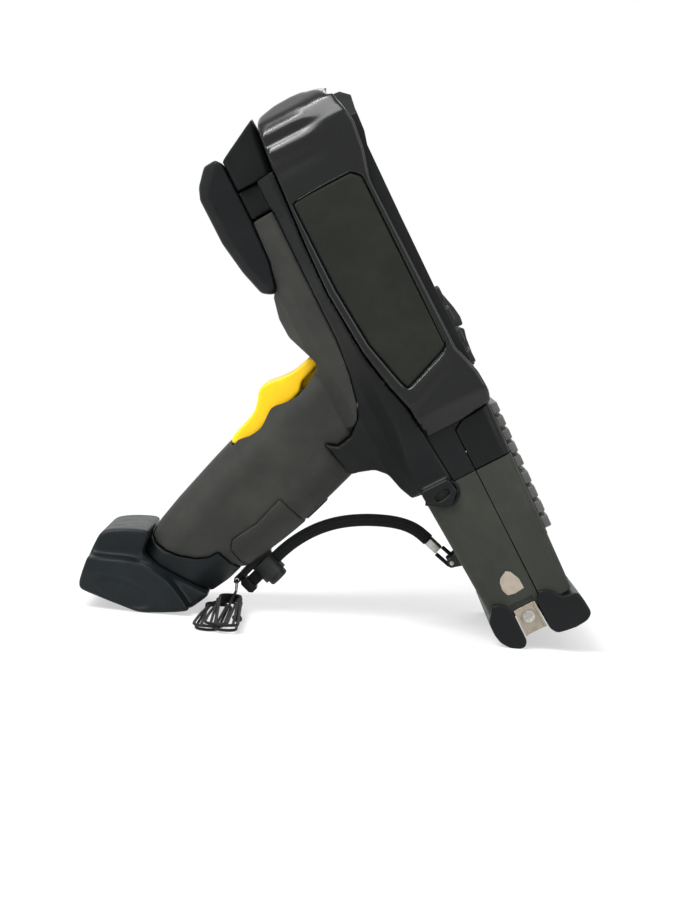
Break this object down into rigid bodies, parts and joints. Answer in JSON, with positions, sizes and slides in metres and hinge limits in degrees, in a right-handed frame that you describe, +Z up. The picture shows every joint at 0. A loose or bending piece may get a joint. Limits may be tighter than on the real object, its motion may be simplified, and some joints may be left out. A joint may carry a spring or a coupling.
{
  "type": "portable barcode data terminal",
  "caption": "Handheld data terminal with a pistol grip, trigger, slide-out battery foot, rubber boots, keypad, touch display, wrist strap and tether.",
  "frame": {"origin": "centre of the bounding box of the terminal without its strap and tether, on the surface it stands on", "axes": "+X from the battery foot towards the keypad end, +Y across the device, +Z up"},
  "size_m": [0.1978, 0.1054, 0.2072],
  "materials": {
    "grey_shell": "fine spark texture",
    "grey_grip": "fine spark texture",
    "black_shell": "fine texture",
    "black_rubber": "smooth moulded",
    "olive_panel": "matt",
    "key_rubber": "satin",
    "key_caps": "satin",
    "silicone": "matt",
    "touch_glass": "anti-glare",
    "display_module": "matt",
    "circuit_board": "matt",
    "red_window": "polished",
    "metal_case": "satin",
    "yellow_trigger": "satin",
    "steel": "plated",
    "switch_case": "matt",
    "teal_foot": "satin",
    "battery_case": "matt",
    "gold_contacts": "plated",
    "bracket_metal": "plated",
    "plate_metal": "satin",
    "connector_body": "matt",
    "lock_plastic": "satin",
    "strap_webbing": "woven",
    "crimp_metal": "satin",
    "thin_cord": "braided"
  },
  "bodies": {
    "terminal": {"bracket_screws": "steel", "cord_lock": "lock_plastic", "display_bezel": "black_shell", "display_boot": "black_rubber", "display_module": "display_module", "dock_brackets": "bracket_metal", "end_boot_front": "black_rubber", "end_boot_rear": "black_rubber", "exit_window": "red_window", "grip_shell_left": "grey_grip", "grip_shell_right": "grey_grip", "handle_screws": "steel", "housing_screws": "steel", "interface_connector": "connector_body", "key_mats": "silicone", "keypad_cover": "grey_shell", "keypad_cover_top": "black_shell", "keypad_frame": "black_shell", "lanyard_lug": "black_shell", "latch_plates": "plate_metal", "main_board": "circuit_board", "main_housing": "black_shell", "nose_frame": "black_shell", "nose_guard": "black_rubber", "palm_pad": "black_rubber", "rear_cover": "grey_shell", "rear_housing": "black_shell", "scan_engine": "metal_case", "side_panels": "olive_panel", "speaker": "metal_case", "strap_bar": "steel", "strap_crimp": "crimp_metal", "strap_loop": "thin_cord", "tether_hank": "thin_cord", "tether_ring": "steel", "touch_panel": "touch_glass", "trigger_pin": "steel", "trigger_spring": "steel", "trigger_switch": "switch_case", "wrist_strap": "strap_webbing"},
    "trigger_body": {"trigger": "yellow_trigger"},
    "battery": {"battery_stick": "battery_case", "battery_collar": "black_shell", "battery_foot": "teal_foot", "battery_contacts": "gold_contacts"},
    "release": {"battery_release": "black_shell"},
    "nav_key_body": {"nav_key": "key_rubber"},
    "scan_key_body": {"scan_key": "key_rubber"},
    "side_keys_body": {"side_keys": "key_rubber"},
    "power_key_body": {"power_key": "key_rubber"},
    "plunger_body": {"lock_plunger": "lock_plastic"},
    "key_row_body_1": {"key_row_1": "key_caps"},
    "key_row_body_2": {"key_row_2": "key_caps"},
    "key_row_body_3": {"key_row_3": "key_caps"},
    "key_row_body_4": {"key_row_4": "key_caps"},
    "key_row_body_5": {"key_row_5": "key_caps"},
    "key_row_body_6": {"key_row_6": "key_caps"},
    "key_row_body_7": {"key_row_7": "key_caps"},
    "key_row_body_8": {"key_row_8": "key_caps"},
    "key_row_body_9": {"key_row_9": "key_caps"}
  },
  "joints": [
    {"name": "trigger_pull", "type": "hinge", "parent": "terminal", "child": "trigger_body", "pos_m": [-0.01269, 0, 0.09388], "axis": [0, -1, 0], "range_deg": [0, 4.5], "stiffness_Nm_per_rad": 0.35, "springref_deg": -4.58},
    {"name": "battery_slide", "type": "slide", "parent": "terminal", "child": "battery", "axis": [-0.6508, 0, -0.7593], "range_m": [0, 0.09]},
    {"name": "release_press", "type": "slide", "parent": "terminal", "child": "release", "axis": [-0.7593, 0, 0.6508], "range_m": [0, 0.001], "stiffness_N_per_m": 600, "springref_m": -0.0008},
    {"name": "key_row_1_press", "type": "slide", "parent": "terminal", "child": "key_row_body_1", "axis": [-0.8729, 0, -0.4879], "range_m": [0, 0.0008], "stiffness_N_per_m": 400, "springref_m": -0.0006},
    {"name": "key_row_2_press", "type": "slide", "parent": "terminal", "child": "key_row_body_2", "axis": [-0.8729, 0, -0.4879], "range_m": [0, 0.0008], "stiffness_N_per_m": 400, "springref_m": -0.0006},
    {"name": "key_row_3_press", "type": "slide", "parent": "terminal", "child": "key_row_body_3", "axis": [-0.8729, 0, -0.4879], "range_m": [0, 0.0008], "stiffness_N_per_m": 400, "springref_m": -0.0006},
    {"name": "key_row_4_press", "type": "slide", "parent": "terminal", "child": "key_row_body_4", "axis": [-0.8729, 0, -0.4879], "range_m": [0, 0.0008], "stiffness_N_per_m": 400, "springref_m": -0.0006},
    {"name": "key_row_5_press", "type": "slide", "parent": "terminal", "child": "key_row_body_5", "axis": [-0.8729, 0, -0.4879], "range_m": [0, 0.0008], "stiffness_N_per_m": 400, "springref_m": -0.0006},
    {"name": "key_row_6_press", "type": "slide", "parent": "terminal", "child": "key_row_body_6", "axis": [-0.8729, 0, -0.4879], "range_m": [0, 0.0008], "stiffness_N_per_m": 400, "springref_m": -0.0006},
    {"name": "key_row_7_press", "type": "slide", "parent": "terminal", "child": "key_row_body_7", "axis": [-0.8729, 0, -0.4879], "range_m": [0, 0.0008], "stiffness_N_per_m": 400, "springref_m": -0.0006},
    {"name": "key_row_8_press", "type": "slide", "parent": "terminal", "child": "key_row_body_8", "axis": [-0.8729, 0, -0.4879], "range_m": [0, 0.0008], "stiffness_N_per_m": 400, "springref_m": -0.0006},
    {"name": "key_row_9_press", "type": "slide", "parent": "terminal", "child": "key_row_body_9", "axis": [-0.8729, 0, -0.4879], "range_m": [0, 0.0008], "stiffness_N_per_m": 400, "springref_m": -0.0006},
    {"name": "nav_press", "type": "slide", "parent": "terminal", "child": "nav_key_body", "axis": [-0.8499, 0, -0.527], "range_m": [0, 0.0008], "stiffness_N_per_m": 500, "springref_m": -0.0006},
    {"name": "scan_press", "type": "slide", "parent": "terminal", "child": "scan_key_body", "axis": [-0.8499, 0, -0.527], "range_m": [0, 0.0008], "stiffness_N_per_m": 500, "springref_m": -0.0006},
    {"name": "side_keys_press", "type": "slide", "parent": "terminal", "child": "side_keys_body", "axis": [-0.8499, 0, -0.527], "range_m": [0, 0.0008], "stiffness_N_per_m": 500, "springref_m": -0.0006},
    {"name": "power_press", "type": "slide", "parent": "terminal", "child": "power_key_body", "axis": [-0.8499, 0, -0.527], "range_m": [0, 0.0008], "stiffness_N_per_m": 400, "springref_m": -0.0006},
    {"name": "plunger_press", "type": "slide", "parent": "terminal", "child": "plunger_body", "axis": [-0.7593, 0, 0.6508], "range_m": [0, 0.0008], "stiffness_N_per_m": 400, "springref_m": -0.0006}
  ]
}
